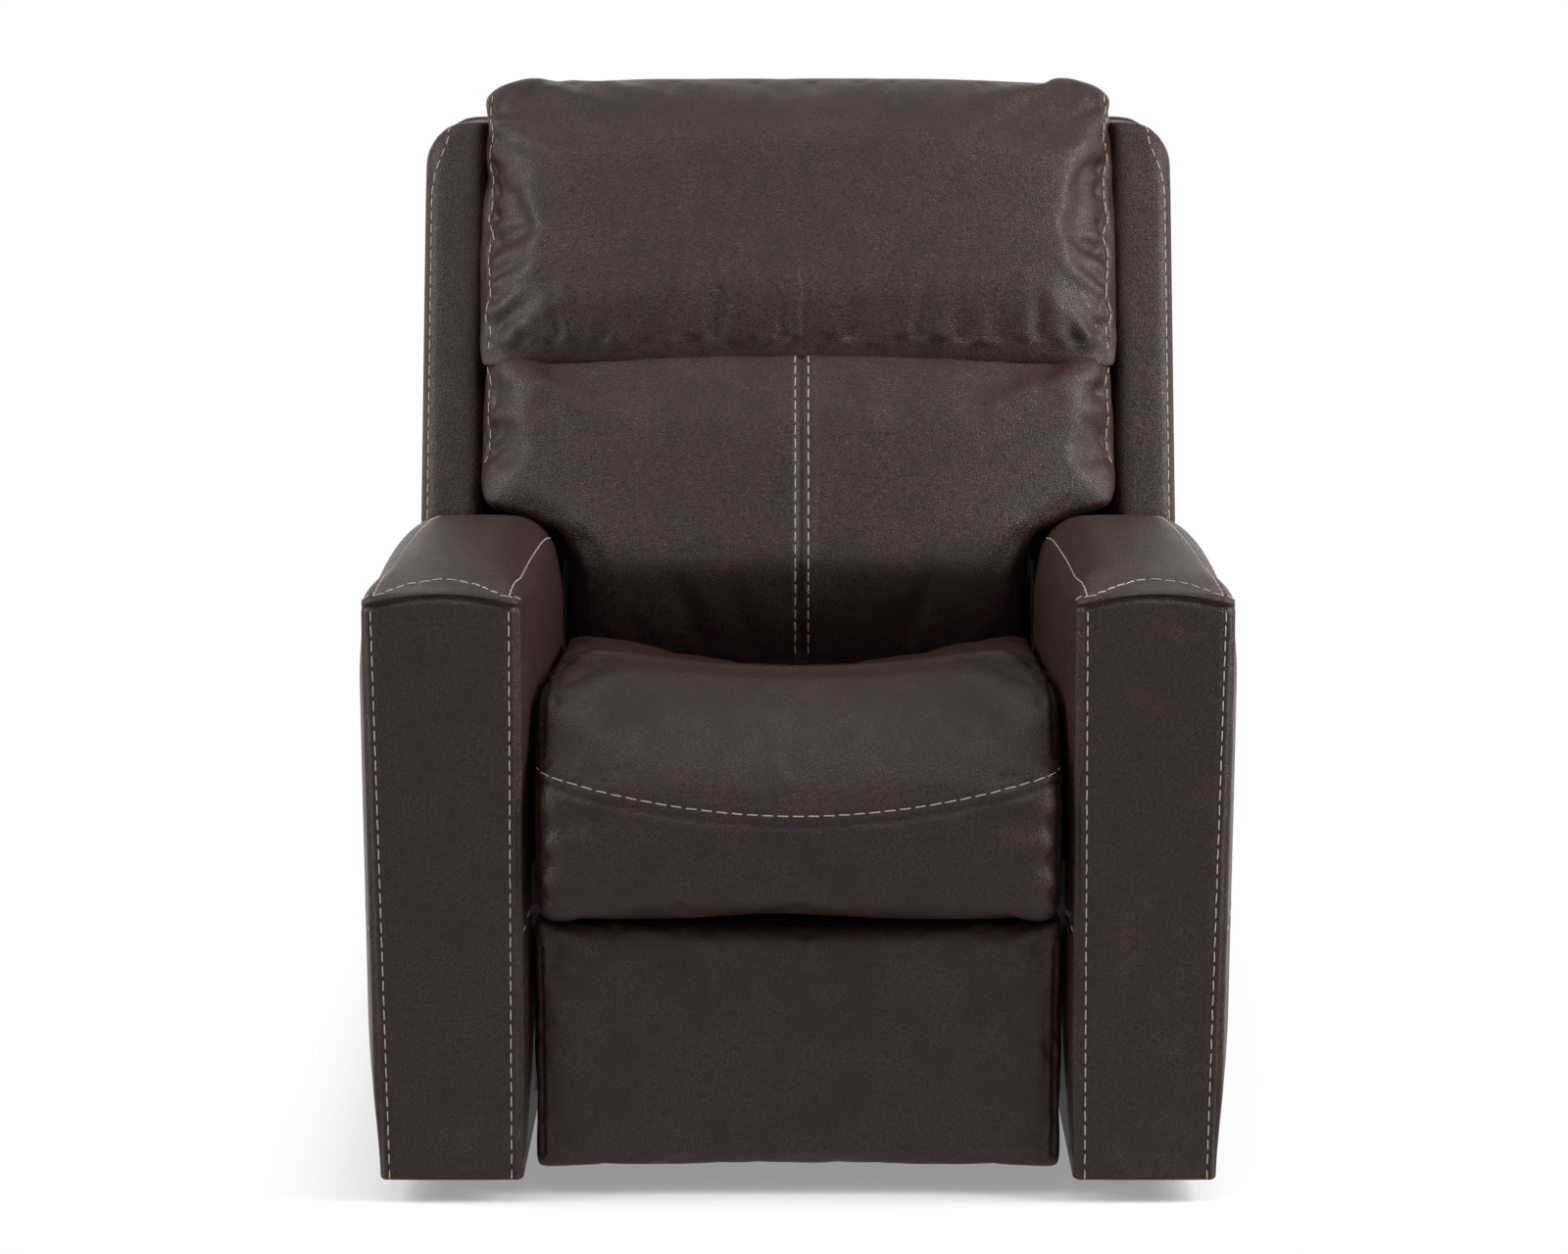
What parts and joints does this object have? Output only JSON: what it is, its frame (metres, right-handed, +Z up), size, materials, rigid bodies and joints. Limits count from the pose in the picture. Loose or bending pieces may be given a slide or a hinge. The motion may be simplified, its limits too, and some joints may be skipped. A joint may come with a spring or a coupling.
{
  "type": "recliner chair",
  "caption": "Power recliner chair in stitched leather: padded arms, rolled seat, split back pillows, winged back and a fold-out footrest on a steel linkage",
  "frame": {"origin": "centre of the footprint box on the floor", "axes": "X across the chair, the sitter faces -Y, Z up"},
  "size_m": [0.8942, 1, 1.1033],
  "materials": {
    "leather": "satin",
    "wood": "matte",
    "black_plastic": "matte",
    "panel_plastic": "satin",
    "bright_steel": "satin",
    "deck_fabric": "matte",
    "black_steel": "satin"
  },
  "bodies": {
    "base": {"left_arm_cover": "leather", "right_arm_cover": "leather", "left_arm_frame": "wood", "right_arm_frame": "wood", "floor_glides": "black_plastic", "rear_stretcher": "wood", "rear_skirt": "leather", "left_mechanism_plate": "black_steel", "right_mechanism_plate": "black_steel", "plate_bolts": "bright_steel", "left_seat_rail": "wood", "right_seat_rail": "wood", "seat_front_rail": "wood", "seat_rear_rail": "wood", "seat_springs": "bright_steel", "seat_deck": "deck_fabric", "seat_cushion": "leather", "motor_crossbar": "black_steel", "footrest_track": "black_steel", "footrest_motor": "black_plastic", "recline_track": "black_steel", "recline_motor": "black_plastic", "control_box": "black_plastic", "control_panel": "panel_plastic", "usb_port": "black_plastic"},
    "lower_links": {"left_lower_link": "black_steel", "right_lower_link": "black_steel", "torque_tube": "black_steel"},
    "upper_links": {"left_upper_link": "black_steel", "right_upper_link": "black_steel"},
    "lower_guides": {"lower_guides": "black_steel"},
    "upper_guides": {"upper_guides": "black_steel"},
    "footrest": {"footrest_pad": "leather", "footrest_board": "wood", "left_footrest_bracket": "black_steel", "right_footrest_bracket": "black_steel"},
    "footrest_carriage": {"footrest_carriage": "black_steel"},
    "recline_carriage": {"recline_carriage": "black_steel"},
    "back": {"left_back_bracket": "black_steel", "right_back_bracket": "black_steel", "left_back_post": "wood", "right_back_post": "wood", "back_pivot_tube": "black_steel", "back_lower_rail": "wood", "back_middle_rail": "wood", "back_top_rail": "wood", "back_springs": "bright_steel", "wing_boards": "wood", "left_wing": "leather", "right_wing": "leather", "outer_back_panel": "leather", "lumbar_cushion": "leather", "headrest_hinge_arms": "black_steel"},
    "headrest": {"headrest_cushion": "leather", "headrest_board": "wood", "headrest_knuckles": "black_steel"},
    "recline_button": {"recline_button": "panel_plastic"},
    "return_button": {"return_button": "panel_plastic"},
    "headrest_up_button": {"headrest_up_button": "panel_plastic"},
    "headrest_down_button": {"headrest_down_button": "panel_plastic"}
  },
  "joints": [
    {"name": "back_recline", "type": "hinge", "parent": "base", "child": "back", "pos_m": [0, 0.1, 0.33], "axis": [-1, 0, 0], "range_deg": [0, 38]},
    {"name": "headrest_tilt", "type": "hinge", "parent": "back", "child": "headrest", "pos_m": [0, 0.16333, 0.79344], "axis": [1, 0, 0], "range_deg": [0, 30]},
    {"name": "footrest_open", "type": "hinge", "parent": "base", "child": "lower_links", "pos_m": [0, -0.297, 0.2235], "axis": [-1, 0, 0], "range_deg": [0, 106.8]},
    {"name": "knee", "type": "hinge", "parent": "lower_links", "child": "upper_links", "pos_m": [0, -0.2515, 0.054], "axis": [-1, 0, 0], "range_deg": [-121.21, 0]},
    {"name": "ankle", "type": "hinge", "parent": "upper_links", "child": "footrest", "pos_m": [0, -0.392, 0.209], "axis": [-1, 0, 0], "range_deg": [0, 109.21]},
    {"name": "lower_guide_turn", "type": "hinge", "parent": "base", "child": "lower_guides", "pos_m": [0, -0.3385, 0.2525], "axis": [-1, 0, 0], "range_deg": [0, 110.51]},
    {"name": "upper_guide_turn", "type": "hinge", "parent": "lower_links", "child": "upper_guides", "pos_m": [0, -0.26176, 0.09222], "axis": [-1, 0, 0], "range_deg": [-122.2, 0]},
    {"name": "footrest_carriage_slide", "type": "slide", "parent": "base", "child": "footrest_carriage", "axis": [0, -1, 0], "range_m": [0, 0.07226]},
    {"name": "recline_carriage_slide", "type": "slide", "parent": "base", "child": "recline_carriage", "axis": [0, -1, 0], "range_m": [0, 0.04559]},
    {"name": "recline_button_press", "type": "slide", "parent": "base", "child": "recline_button", "axis": [1, 0, 0], "range_m": [0, 0.0018], "stiffness_N_per_m": 600, "springref_m": -0.0012},
    {"name": "return_button_press", "type": "slide", "parent": "base", "child": "return_button", "axis": [1, 0, 0], "range_m": [0, 0.0018], "stiffness_N_per_m": 600, "springref_m": -0.0012},
    {"name": "headrest_up_button_press", "type": "slide", "parent": "base", "child": "headrest_up_button", "axis": [1, 0, 0], "range_m": [0, 0.0018], "stiffness_N_per_m": 600, "springref_m": -0.0012},
    {"name": "headrest_down_button_press", "type": "slide", "parent": "base", "child": "headrest_down_button", "axis": [1, 0, 0], "range_m": [0, 0.0018], "stiffness_N_per_m": 600, "springref_m": -0.0012}
  ],
  "couplings": [
    {"joint": "knee", "follows": "footrest_open", "ratio": -1.1348},
    {"joint": "ankle", "follows": "footrest_open", "ratio": 1.0225},
    {"joint": "lower_guide_turn", "follows": "footrest_open", "ratio": 1.0346},
    {"joint": "upper_guide_turn", "follows": "footrest_open", "ratio": -1.1441},
    {"joint": "footrest_carriage_slide", "follows": "footrest_open", "m_per_rad": 0.038762},
    {"joint": "recline_carriage_slide", "follows": "back_recline", "m_per_rad": 0.068724}
  ]
}
